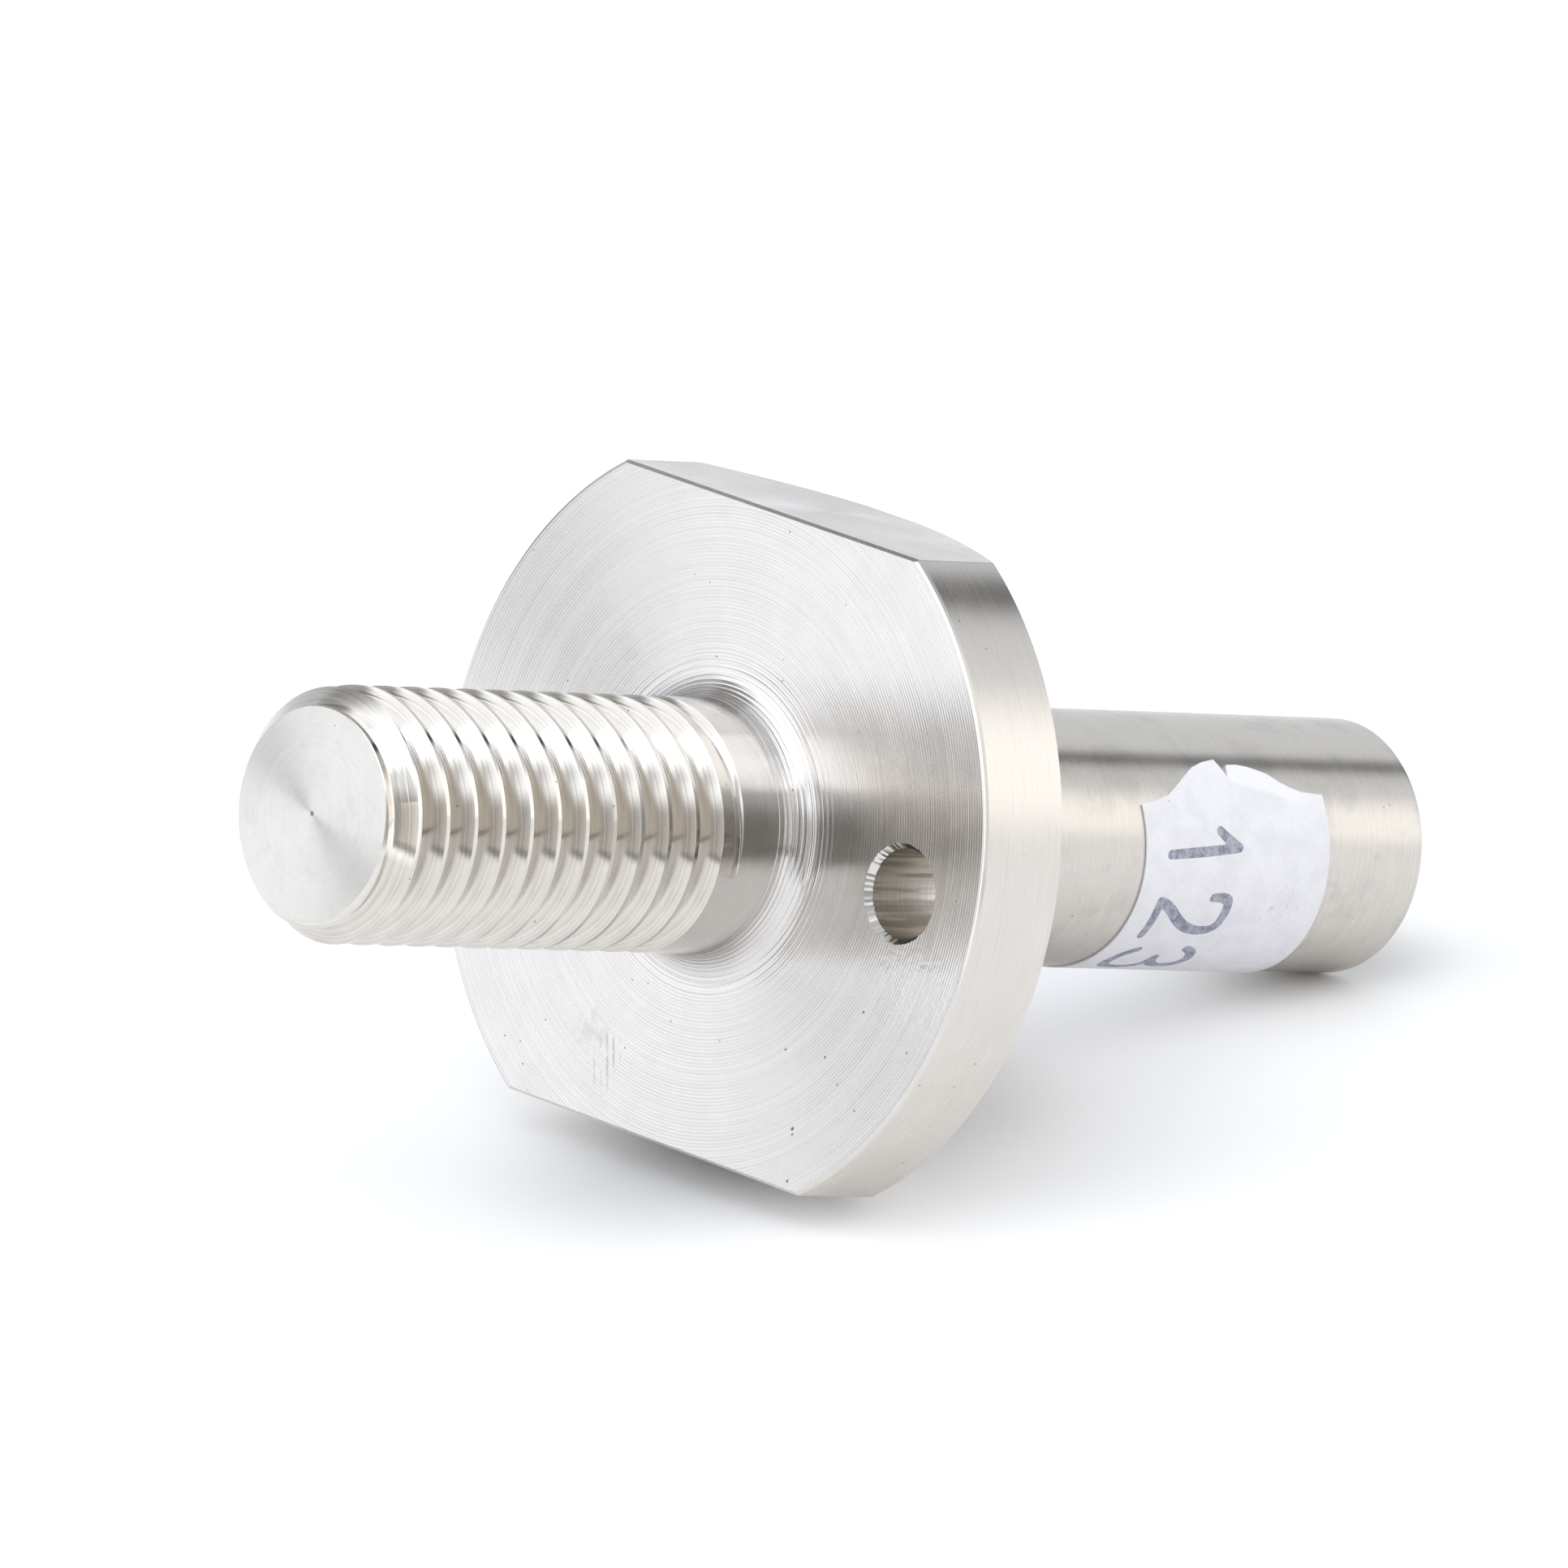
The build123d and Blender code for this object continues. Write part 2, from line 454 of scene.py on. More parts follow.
def spot(nodes, x, y, at_x, at_y, wide, high, turn=0.0):
    """Mask of one oval place on a flat face, with a soft edge."""
    off_x, off_y = nodes.minus(x, at_x), nodes.minus(y, at_y)
    across = nodes.times_add(off_x, cos(turn) / wide, nodes.times(off_y, sin(turn) / wide))
    upward = nodes.times_add(off_y, cos(turn) / high, nodes.times(off_x, -sin(turn) / high))
    return nodes.ramp(nodes.distance(across, upward), 1.0, 0.4)


def specks(nodes, point, scale, size, seed):
    """Mask of a few small specks."""
    moved = nodes.vector("ADD", point, (seed * 0.013, seed * 0.007, seed * 0.003))
    cells = nodes.add("ShaderNodeTexVoronoi", {"Vector": moved, "Scale": scale})
    near = nodes.ramp(cells.outputs["Distance"], size, size * 0.5)
    chance = nodes.add("ShaderNodeSeparateColor", {0: cells.outputs["Color"]}).outputs[0]
    return nodes.times(near, nodes.math("GREATER_THAN", chance, 0.6))


def turned_steel(
    name, look, across="radius", feed=0.0, feed_depth=0.0, corner_depth=0.0, streaks=0.0, streak_scale=9000.0,
    streak_bump=0.0, wander=0.02, rough=0.2, stretch=0.8, mottle=0.0, scratches=0.0, patches=0.0,
    tint=(1.0, 1.0, 1.0), marks=None,
):
    """Steel with lathe marks that run round the bolt's axis."""
    material, nodes = new_material(name)
    at = bolt_place(nodes)
    over = at.z if across == "z" else at.radius
    if across == "face":
        over = nodes.plus(at.radius, nodes.math("MINIMUM", at.z, 0.0))
    over = nodes.times_add(nodes.noise(at.point, scale=160.0, detail=1.0), wander * MM, over)

    # Irregular fine lines: noise that changes only across the marks, and arcs that come and go
    lines = nodes.line_noise(over, streak_scale, detail=4.0, rough=0.65)
    arcs = nodes.noise(nodes.point(nodes.times(over, streak_scale * 0.8), nodes.times(at.angle, 2.2)))
    line_mix = nodes.times_add(lines, 0.55, nodes.times(arcs, 0.45))
    height = nodes.times(line_mix, streak_bump)
    clouds = nodes.noise(at.point, scale=420.0, detail=5.0, rough=0.62)
    tone = nodes.ramp(line_mix, 0.3, 0.7, 1 - streaks / 2, 1 + streaks / 2, soft=False)
    tone = nodes.times(tone, nodes.ramp(clouds, 0.35, 0.65, 0.98, 1.02))

    # Regular rings at the tool's feed
    if feed > 0:
        ring = nodes.math("SINE", nodes.times(over, 2 * pi / feed))
        wide_lines = nodes.line_noise(over, streak_scale * 0.12)
        ring = nodes.times(ring, nodes.ramp(wide_lines, 0.25, 0.7, 0.6, 1.3))
        height = nodes.times_add(ring, feed_depth / 2, height)
        sets = nodes.line_noise(over, 4600.0, detail=3.0, rough=0.65)
        height = nodes.times_add(sets, feed_depth / 3, height)
        tone = nodes.times(tone, nodes.ramp(sets, 0.3, 0.7, 1 - streaks * 0.45, 1 + streaks * 0.45))

    # Coarser rings of the corner tool, that fade out on the face
    if corner_depth > 0:
        corner_feed = 0.3 * MM
        drift = nodes.line_noise(over, 3300.0)
        groove = nodes.times_add(drift, 7.0, nodes.times(over, 2 * pi / corner_feed))
        groove = nodes.times(nodes.math("SINE", groove), nodes.ramp(over, 8.9 * MM, 7.3 * MM))
        height = nodes.times_add(groove, corner_depth / 2, height)

    # Fine slanted scratches in two directions, dull patches and specks
    if mottle > 0:
        height = nodes.times_add(nodes.noise(at.point, scale=1500.0, detail=3.0), mottle, height)
    if scratches > 0:
        for turn, seed in ((0.5, 0.0), (-0.35, 7.0)):
            unrolled = nodes.point(at.z, nodes.times(at.angle, SHANK_RADIUS), seed)
            slanted = nodes.stretched(unrolled, (14000, 700, 1), (0, 0, turn))
            fine = nodes.ramp(nodes.noise(slanted, detail=1.0), 0.6, 0.74)
            height = nodes.times_add(fine, -scratches, height)
            tone = nodes.times_add(fine, -0.07, tone)
    if patches > 0:
        dull = nodes.ramp(nodes.noise(at.point, scale=330.0, detail=4.0, rough=0.65), 0.5, 0.62)
        tone = nodes.times_add(dull, -patches, tone)
    stained = nodes.times(specks(nodes, at.point, 900.0, 0.06, 3), 0.8)
    # Each region's own marks: real stains, flecks and ripples, or a painted highlight on the chamfer and the
    # first groove
    if marks:
        tone, stained, height = marks(nodes, at, tone, stained, height)

    roughness = nodes.ramp(clouds, 0.3, 0.7, rough * 0.95, rough * 1.06)
    roughness = nodes.times_add(nodes.minus(line_mix, 0.5), rough * 0.35, roughness)
    if corner_depth > 0:
        roughness = nodes.times(roughness, nodes.ramp(over, 7.2 * MM, 8.6 * MM, 0.6, 1.0))
    finish_material(nodes, {
        "Base Color": nodes.mix(stained, nodes.shade(look.steel, tone, tint), rgba(look.stain)),
        "Metallic": 1.0,
        "Roughness": roughness,
        "Anisotropic": stretch,
        "Anisotropic Rotation": 0.25,
        "Tangent": along_turning(nodes),
    }, height)
    return material


def flange_marks(nodes, at, tone, stained, height):
    """Marks on the flange's front face: a smudge, a few flecks and a rippled patch."""
    def place(at_x, at_y, wide, high, turn=0.0):
        return spot(nodes, at.x, at.y, at_x * MM, at_y * MM, wide * MM, high * MM, turn)

    # Smudge of short strokes and a smear low at the left, and a scuff at the right
    blots = nodes.noise(at.point, scale=1300.0, detail=3.0, rough=0.6)
    stroke_spacing = 0.45 * MM
    stroke = nodes.times(nodes.times_add(at.x, 0.28, at.y), 2 * pi / stroke_spacing)
    strokes = nodes.ramp(nodes.math("SINE", nodes.times_add(blots, 2.2, stroke)), 0.1, 0.8)
    strokes = nodes.times(strokes, nodes.ramp(blots, 0.4, 0.6))
    smudge = nodes.times(nodes.times(strokes, place(-12.1, -3.9, 1.9, 1.2)), 0.36)
    smear = nodes.times(nodes.times(nodes.ramp(blots, 0.45, 0.6), place(-10.9, -5.4, 1.5, 1.7)), 0.13)
    scuff = nodes.times(nodes.times(nodes.ramp(blots, 0.42, 0.6), place(6.4, -7.4, 1.2, 1.3)), 0.1)
    dirt = nodes.larger(smudge, nodes.larger(smear, scuff))

    # Small dark flecks
    for at_x, at_y, size in (
        (-12.1, 8.9, 0.15), (-12.35, 8.95, 0.1), (-14.5, 9.2, 0.12), (-5.8, 12.0, 0.11), (-8.4, 10.1, 0.1),
        (-8.7, 7.5, 0.1), (-10.3, 12.6, 0.08), (-6.9, 15.2, 0.08),
    ):
        dirt = nodes.larger(dirt, place(at_x, at_y, size, size * 0.7, turn=0.7))
    front = nodes.math("LESS_THAN", at.z, 0.5 * MM)
    stained = nodes.larger(stained, nodes.times(dirt, front))

    # Where the tool chattered: ripples like leather beside the hole
    ripples = nodes.noise(at.point, scale=2100.0, detail=1.5)
    rippled = place(-4.1, 14.9, 2.7, 3.8, turn=0.25)
    height = nodes.times_add(nodes.times(ripples, rippled), 19 * UM, height)
    return tone, stained, height


def end_marks(nodes, at, tone, stained, height):
    """The tool's centre point on the end face, and a faint stain round it."""
    centre = nodes.times(nodes.ramp(at.radius, 0.16 * MM, 0.07 * MM), 0.85)
    faint = nodes.ramp(nodes.noise(at.point, scale=1100.0, detail=5.0, rough=0.75), 0.5, 0.7, 0.0, 0.07)
    return tone, nodes.larger(stained, nodes.larger(centre, faint)), height


def chamfer_painted_highlight(nodes, at, tone, stained, height):
    """A painted highlight: one side of the end's chamfer, and of the first groove that cuts it, is painted
    paler.
    """
    # Painted highlight: paler between about 55 and 98 degrees round the axis, and only near the threaded end
    painted_highlight = nodes.times(
        nodes.ramp(at.angle, radians(48), radians(62)), nodes.ramp(at.angle, radians(102), radians(94))
    )
    painted_highlight = nodes.times(painted_highlight, nodes.ramp(at.z, -23.9 * MM, -24.05 * MM))
    return nodes.times_add(painted_highlight, 0.46, tone), stained, height


def milled_steel(name, look):
    """Steel of the flats: faint long marks, satin."""
    material, nodes = new_material(name)
    point = bolt_place(nodes).point
    marks = nodes.noise(nodes.stretched(point, (300, 260, 6500), (0.02, 0, 0)), detail=4.0, rough=0.6)
    shade = nodes.shade(look.steel, nodes.ramp(marks, 0.3, 0.7, 0.9, 1.0))
    finish_material(nodes, {
        "Base Color": nodes.mix(specks(nodes, point, 500.0, 0.04, 5), shade, rgba(look.stain)),
        "Metallic": 1.0,
        "Roughness": nodes.ramp(nodes.noise(point, scale=300.0, detail=4.0), 0.3, 0.7, 0.27, 0.34),
        "Anisotropic": 0.5,
        "Anisotropic Rotation": 0.25,
        "Tangent": (0.0, -1.0, 0.0),
    }, nodes.times(marks, 2.5 * UM))
    return material


def drilled_steel(name, look, sizes):
    """Steel of the small hole's wall: rings and a few long reamer marks. Its colour is painted paler and
    cooler than the other steel, painted light against the shade and the warm bounced light inside the hole.
    """
    material, nodes = new_material(name)
    at = bolt_place(nodes)
    own_angle = nodes.math("ARCTAN2", nodes.minus(at.y, sizes.hole_offset), at.x)
    rings = nodes.line_noise(at.z, 7000.0, detail=3.0)
    long_marks = nodes.noise(nodes.point(nodes.times(own_angle, 5.0), nodes.times(at.z, 120.0)), detail=3.0)
    tone = nodes.times(nodes.ramp(rings, 0.3, 0.7, 0.88, 1.0), nodes.ramp(long_marks, 0.4, 0.6, 0.58, 1.0))
    # Painted light: the wall's steel is tinted paler and cooler than the rest of the bolt
    finish_material(nodes, {
        "Base Color": nodes.shade(look.steel, tone, tint=(1.22, 1.18, 1.135)),
        "Metallic": 1.0,
        "Roughness": nodes.ramp(long_marks, 0.3, 0.7, 0.42, 0.32),
    }, nodes.times_add(rings, 3 * UM, nodes.times(long_marks, 20 * UM)))
    return material


def label_paper(name, look):
    """Matte paper: short fibres, faint clouds, a few specks, and white fibres where its top is torn off."""
    material, nodes = new_material(name)
    at = bolt_place(nodes)
    unrolled = nodes.point(nodes.times(at.angle, look.inner_radius), at.z)
    fine = nodes.noise(nodes.stretched(unrolled, (9000, 3500, 1), (0, 0, 0.5)), detail=4.0, rough=0.6)
    clouds = nodes.noise(at.point, scale=520.0, detail=5.0, rough=0.68)
    creases = nodes.noise(at.point, scale=700.0)

    # Torn patch: between the tear and a ragged line below it, that drops toward the back
    ragged = nodes.noise(unrolled, scale=900.0, detail=4.0, rough=0.7)
    lower = nodes.times_add(nodes.minus(at.z, 28.4 * MM), radians(2.3) / MM, radians(45.5))
    depth = nodes.minus(at.angle, nodes.times_add(ragged, 0.12, lower))
    along = nodes.times(nodes.ramp(at.z, 28.2 * MM, 28.5 * MM), nodes.ramp(at.z, 33.6 * MM, 32.4 * MM))
    along = nodes.times(along, nodes.math("GREATER_THAN", at.angle, 0.0))
    torn = nodes.times(nodes.ramp(depth, 0.04, -0.02), along)

    tone = nodes.mix(nodes.ramp(clouds, 0.38, 0.66), rgba(look.paper), rgba(look.paper, 0.91))
    tone = nodes.mix(nodes.ramp(fine, 0.35, 0.75, 0.0, 0.5), tone, rgba(look.paper, 0.9))
    scribbles = nodes.noise(nodes.stretched(unrolled, (1500, 5200, 1), (0, 0, 0.35)), detail=3.0)
    here = spot(nodes, at.angle, at.z, radians(107), 32.2 * MM, radians(13), 1.9 * MM)
    faint = nodes.times(nodes.times(nodes.ramp(scribbles, 0.6, 0.66), here), 0.3)
    tone = nodes.mix(faint, tone, rgba(look.ink))
    flecks = nodes.times(specks(nodes, at.point, 700.0, 0.05, 7), 0.45)
    tone = nodes.mix(flecks, tone, rgba((0.25, 0.22, 0.22)))
    height = nodes.times_add(fine, 9 * UM, nodes.times(creases, 20 * UM))
    finish_material(nodes, {
        "Base Color": nodes.mix(torn, tone, rgba(look.torn_paper)),
        "Roughness": nodes.ramp(torn, 0.0, 1.0, 0.72, 0.92),
        "Specular IOR Level": 0.25,
        "Sheen Weight": 0.15,
        "Sheen Roughness": 0.6,
    }, nodes.times_add(torn, -30 * UM, height))
    return material


def faded_ink(name, look):
    """Ink that has dried unevenly: dark where it pooled, pale where the paper's grain shows."""
    material, nodes = new_material(name)
    point = bolt_place(nodes).point
    blots = nodes.noise(point, scale=2600.0, detail=4.0, rough=0.65)
    grain = nodes.noise(point, scale=9000.0)
    share = nodes.ramp(nodes.times_add(grain, 0.35, nodes.times(blots, 0.75)), 0.4, 0.66)
    pale = [ink * 0.5 + paper * 0.4 for ink, paper in zip(look.ink, look.paper)]
    finish_material(nodes, {
        "Base Color": nodes.mix(share, rgba(look.ink), rgba(pale)),
        "Roughness": nodes.ramp(blots, 0.3, 0.7, 0.5, 0.68),
        "Specular IOR Level": 0.3,
    }, nodes.times(grain, 4 * UM))
    return material


def studio_floor(name, look):
    """Pale floor: the metal and the camera see it a little lighter, but not near the bolt, where it stays
    darker as a painted shadow on top of the bolt's own shadow.
    """
    material, nodes = new_material(name)
    place = nodes.add("ShaderNodeTexCoord").outputs["Object"]
    x, y = nodes.parts(place)[:2]
    rays = nodes.add("ShaderNodeLightPath").outputs
    mirrored = nodes.plus(rays["Is Glossy Ray"], rays["Is Transmission Ray"])

    def from_line(middle, half_length):
        """Distance from a line that lies under the bolt."""
        beyond = nodes.minus(nodes.math("ABSOLUTE", nodes.minus(x, middle)), half_length)
        return nodes.distance(nodes.larger(beyond, 0.0), y)

    # Painted shadow: no light is added near the bolt, the flange and the shank's tip, so the real shadow
    # there is deepened
    clear = nodes.ramp(from_line(0.012, 0.022), 0.0005, 0.009)
    from_tip = nodes.vector("LENGTH", nodes.vector("SUBTRACT", place, (0.0315, 0, 0)), output="Value")
    from_flange = from_line(-0.004, 0.007)
    seen = nodes.times(nodes.ramp(from_flange, 0.001, 0.011), nodes.ramp(from_tip, 0.0005, 0.007))

    # Painted reflection: to glossy rays the floor is painted dark beyond about 0.28 m toward the studio's
    # open front
    front_way = (cos(radians(-138)), sin(radians(-138)), 0)
    front = nodes.times(nodes.ramp(nodes.dot(place, front_way), 0.24, 0.32), mirrored)
    shine = nodes.times(nodes.times(mirrored, nodes.times(clear, nodes.minus(1.0, front))), look.floor_shine)
    white = nodes.times(rays["Is Camera Ray"], nodes.times(seen, look.floor_white))
    grain = nodes.ramp(nodes.noise(place, scale=900.0), 0.3, 0.7)
    tone = nodes.mix(grain, rgba(look.floor), rgba(look.floor, 0.995))
    finish_material(nodes, {
        "Base Color": nodes.mix(front, tone, rgba((0.24, 0.235, 0.225))),
        "Roughness": 0.9,
        "Specular IOR Level": 0.0,
        "Emission Color": (1, 1, 1, 1),
        "Emission Strength": nodes.plus(shine, white),
    })
    return material


# Bolt

def turned_blank(sizes):
    """The bolt before its thread is cut, drawn out step by step along its axis."""
    steps = (
        (sizes.crest_radius, sizes.crest_radius - sizes.end_radius - sizes.front_length),
        (sizes.crest_radius, 0),
        (sizes.flange_radius, 0),
        (sizes.flange_radius, sizes.flange_thickness - sizes.back_chamfer),
        (sizes.flange_radius - sizes.back_chamfer, sizes.flange_thickness),
        (sizes.shank_radius, sizes.flange_thickness),
        (sizes.shank_radius, sizes.shank_length),
    )
    radius, place = sizes.end_radius, -sizes.front_length
    blank = primitive(
        bpy.ops.mesh.primitive_circle_add, vertices=sizes.segments, radius=radius, fill_type="NGON",
        location=(0, 0, place), rotation=(0, 0, pi / sizes.segments),
    )
    edit(blank)
    select_all()
    for next_radius, next_place in steps:
        draw_out(0, 0, next_place - place)
        if next_radius != radius:
            resize((next_radius / radius, next_radius / radius, 1))
        radius, place = next_radius, next_place

    # Round or broken corners, each picked by its radius and its place
    bpy.ops.mesh.select_mode(type="EDGE")
    for ring_radius, ring_place, width, segments in (
        (sizes.crest_radius, 0, sizes.neck_fillet, 14),
        (sizes.flange_radius, 0, sizes.rim_break, 2),
        (sizes.shank_radius, sizes.shank_length, sizes.tip_round, 4),
    ):
        def on_ring(edge):
            return all(
                abs(around(v.co) - ring_radius) < NEAR and abs(v.co.z - ring_place) < NEAR for v in edge.verts
            )

        pick(blank, "edges", on_ring)
        bpy.ops.mesh.bevel(offset=width, segments=segments, profile=0.5, affect="EDGES")
    outward(blank)
    return blank


def groove_cutter(sizes):
    """The thread groove as a solid: its section is screwed along the axis, and draws out at its end."""
    full_turns, fade_turns, steps_in_turn = 13, 0.5, 240
    overshoot, fade_overshoot, root_break = 0.15 * MM, 0.02 * MM, 0.05 * MM
    turns = full_turns + fade_turns
    first, last = steps_in_turn * full_turns, int(steps_in_turn * turns)
    slope = tan(sizes.flank_angle)
    root_radius = sizes.crest_radius - sizes.thread_depth
    root_flat = sizes.pitch - sizes.crest_flat - 2 * sizes.thread_depth * slope
    depth = sizes.thread_depth + overshoot
    outer_width = root_flat + 2 * depth * slope
    start = -sizes.fade_start - full_turns * sizes.pitch
    cutter = primitive(
        bpy.ops.mesh.primitive_plane_add, scale=(depth, outer_width, 1), size=1,
        location=(root_radius + depth / 2, 0, start), rotation=(pi / 2, 0, 0),
    )
    edit(cutter, "EDGE")
    pick(cutter, "edges", lambda e: all(v.co.x < root_radius + depth / 3 for v in e.verts))
    resize((1, 1, root_flat / outer_width), (root_radius, 0, start))
    bpy.ops.mesh.bevel(offset=root_break, segments=2, affect="VERTICES")
    select_all()
    bpy.ops.mesh.delete(type="ONLY_FACE")
    leave_edit()
    section_points = len(cutter.data.vertices)
    use_modifier(
        cutter, "SCREW", axis="Z", angle=2 * pi * turns, screw_offset=sizes.pitch * turns, steps=last,
        render_steps=last, use_merge_vertices=False, use_smooth_shade=False,
    )

    # Over the last half turn the cutter moves outward until it is clear of the metal
    edit(cutter, "VERT")
    for step in range(first + 1, last + 1):
        mesh = bmesh.from_edit_mesh(cutter.data)
        mesh.verts.ensure_lookup_table()
        select_none()
        for index in range(step * section_points, (step + 1) * section_points):
            mesh.verts[index].select_set(True)
        mesh.select_flush_mode()
        share = (step - first) / (last - first)
        away = (sizes.thread_depth + fade_overshoot) * share
        angle = 2 * pi * step / steps_in_turn
        bpy.ops.transform.translate(value=(away * cos(angle), away * sin(angle), 0))
    select_none()
    bpy.ops.mesh.select_non_manifold()
    bpy.ops.mesh.fill_holes(sides=0)
    close_edit()
    cutter.rotation_euler = (0, 0, -radians(FADE_ANGLE))
    apply_place(cutter)
    return cutter


def cut_flats(bolt, sizes):
    """Two flats on the flange, with broken front edges."""
    edit(bolt)
    for side in (1, -1):
        select_all()
        bpy.ops.mesh.bisect(
            plane_co=(side * sizes.half_flats, 0, 0), plane_no=(side, 0, 0), use_fill=True, clear_outer=True,
            threshold=MERGE / 2,
        )

    # A long block, turned by 45 degrees, takes off each front edge
    half_block = 1 * MM
    for side in (1, -1):
        middle_of_edge = Vector((side * (sizes.half_flats - sizes.flat_break / 2), 0, sizes.flat_break / 2))
        outside = Vector((side, 0, -1)).normalized()
        block = primitive(
            bpy.ops.mesh.primitive_cube_add, scale=(1, 20, 1), size=2 * half_block,
            location=middle_of_edge + half_block * outside, rotation=(0, pi / 4, 0),
        )
        cut(bolt, block)


def cut_hole(bolt, sizes):
    """Small hole through the flange, and its mouth with the marks of a chattering countersink."""
    middle, past_face = sizes.flange_thickness / 2, 2 * MM
    cut(bolt, primitive(
        bpy.ops.mesh.primitive_cylinder_add, vertices=120, radius=sizes.hole_radius,
        depth=sizes.flange_thickness + 2 * past_face, location=(0, sizes.hole_offset, middle),
    ))

    slope = (sizes.mouth_radius - sizes.hole_radius) / sizes.mouth_depth
    above, below = 0.1 * MM, sizes.mouth_depth + 0.08 * MM
    sink = primitive(
        bpy.ops.mesh.primitive_cone_add, vertices=sizes.mouth_facets * 2, depth=above + below,
        radius1=sizes.mouth_radius + above * slope, radius2=sizes.mouth_radius - below * slope,
        location=(0, sizes.hole_offset, (below - above) / 2),
    )
    edit(sink, "VERT")
    for spacing, first, scale in ((2, 1, 1.012), (5, 0, 1.012), (7, 3, 0.99)):
        def on_step(vert):
            angle = atan2(vert.co.y - sizes.hole_offset, vert.co.x)
            return round(angle / (pi / sizes.mouth_facets)) % spacing == first

        pick(sink, "verts", on_step)
        resize((scale, scale, 1), (0, sizes.hole_offset, 0))
    cut(bolt, sink)


def on_mouth(face, sizes):
    """Whether a face belongs to the small hole's opened mouth."""
    centre = face.center
    beside = around(centre, sizes.hole_offset) < sizes.mouth_radius + 0.08 * MM
    return beside and -0.95 < face.normal.z < -0.3 and centre.z < sizes.mouth_depth + 0.1 * MM


def region(face, sizes):
    """Name of the finish that a face gets, from its place and its normal."""
    centre, normal = face.center, face.normal
    radius = around(centre)
    end_chamfer, neck_end = sizes.crest_radius - sizes.end_radius, -3.9 * MM
    if on_mouth(face, sizes):
        return "mouth"
    in_hole = around(centre, sizes.hole_offset) < sizes.mouth_radius + 0.02 * MM
    if in_hole and abs(normal.z) < 0.9 and centre.z > -0.05 * MM:
        return "bore"
    if centre.z < -sizes.front_length + 0.01 * MM:
        return "end_face"
    if centre.z < end_chamfer - sizes.front_length and -0.8 < normal.z < -0.6:
        return "chamfer"
    if centre.z < -sizes.neck_fillet - 0.02 * MM:
        return "neck" if radius > sizes.crest_radius - 0.01 * MM and centre.z > neck_end else "thread"
    if centre.z < 0.05 * MM:
        return "faced"
    if abs(abs(centre.x) - sizes.half_flats) < 0.1 * MM and abs(normal.x) > 0.6:
        return "flat"
    if radius > sizes.flange_radius - 0.3 * MM:
        return "rim"
    if centre.z < sizes.flange_thickness + 0.01 * MM and radius > sizes.shank_radius + 0.05 * MM:
        return "faced"
    return "end_face" if centre.z > sizes.shank_length - 0.01 * MM else "shank"


def dress_bolt(bolt, sizes, look):
    """Give each region of the bolt the finish that its tool leaves, with a painted highlight on the end's
    chamfer and painted light in the small hole.
    """
    finishes = {}

    def turned(name, **settings):
        finishes[name] = turned_steel(f"steel_{name}", look, **settings)

    turned(
        "end_face", feed=0.05 * MM, feed_depth=1.2 * UM, streak_bump=2 * UM, streaks=0.03, wander=0.005,
        rough=0.21, stretch=0.95, mottle=1.2 * UM, marks=end_marks,
    )
    turned(
        "faced", across="face", feed=look.feed, feed_depth=4.2 * UM, corner_depth=16 * UM,
        streak_bump=2.5 * UM, streaks=0.07, wander=0.004, rough=0.21, stretch=0.95,
        tint=(1.02, 1.022, 1.04), marks=flange_marks,
    )
    # The thread and the chamfer both carry the painted highlight near the threaded end
    turned(
        "thread", streak_bump=9 * UM, streaks=0.36, streak_scale=6500.0, wander=0.006, rough=0.13,
        stretch=0.7, tint=(0.95, 0.93, 0.905), marks=chamfer_painted_highlight,
    )
    turned(
        "chamfer", streak_bump=8 * UM, streaks=0.25, streak_scale=6500.0, wander=0.006, rough=0.27,
        stretch=0.4, tint=(1.06, 1.05, 1.03), marks=chamfer_painted_highlight,
    )
    turned(
        "neck", across="z", streak_bump=2.2 * UM, streaks=0.12, streak_scale=12000.0, rough=0.09,
        stretch=0.65,
    )
    turned(
        "rim", across="z", streak_bump=2.5 * UM, streaks=0.1, streak_scale=11000.0, wander=0.03, rough=0.26,
        stretch=0.86, scratches=0.15 * UM, tint=(1.05, 1.035, 1.015),
    )
    turned(
        "shank", across="z", streak_bump=4 * UM, streaks=0.13, streak_scale=7000.0, wander=0.03, rough=0.29,
        stretch=0.86, mottle=0.4 * UM, scratches=0.15 * UM, patches=0.08, tint=(1.0, 0.985, 0.96),
    )
    finishes["flat"] = milled_steel("steel_flat", look)
    turned("mouth", streaks=0.06, rough=0.15, stretch=0.0)
    finishes["bore"] = drilled_steel("steel_bore", look, sizes)

    wear(bolt, *finishes.values())
    order = list(finishes)
    for face in bolt.data.polygons:
        face.material_index = order.index(region(face, sizes))


# Label

def wrapped_sheet(look):
    """Sheet of paper wrapped round the shank, with its two ends cut askew."""
    lowest, highest = 0.0195, 0.0375
    sheet = primitive(
        bpy.ops.mesh.primitive_cylinder_add, vertices=360, radius=look.inner_radius, depth=highest - lowest,
        end_fill_type="NOTHING", location=(0, 0, (lowest + highest) / 2),
    )
    edit(sheet, "EDGE")
    pick(sheet, "edges", lambda e: abs(e.verts[0].co.z - e.verts[1].co.z) > MM)
    bpy.ops.mesh.subdivide(number_cuts=35)
    for end in LABEL_ENDS:
        toward = Matrix.Rotation(radians(end["toward"]), 3, "Z")
        skew = Matrix.Rotation(radians(-end["skew"]), 3, "Y")
        select_all()
        bpy.ops.mesh.bisect(
            plane_co=(0, 0, end["distance"]), plane_no=toward @ skew @ Vector((0, 0, 1)), threshold=MERGE / 2,
            clear_outer=end["keep_front"], clear_inner=not end["keep_front"],
        )
    outward(sheet)
    use_modifier(sheet, "SOLIDIFY", thickness=look.thickness, offset=1.0)
    return sheet


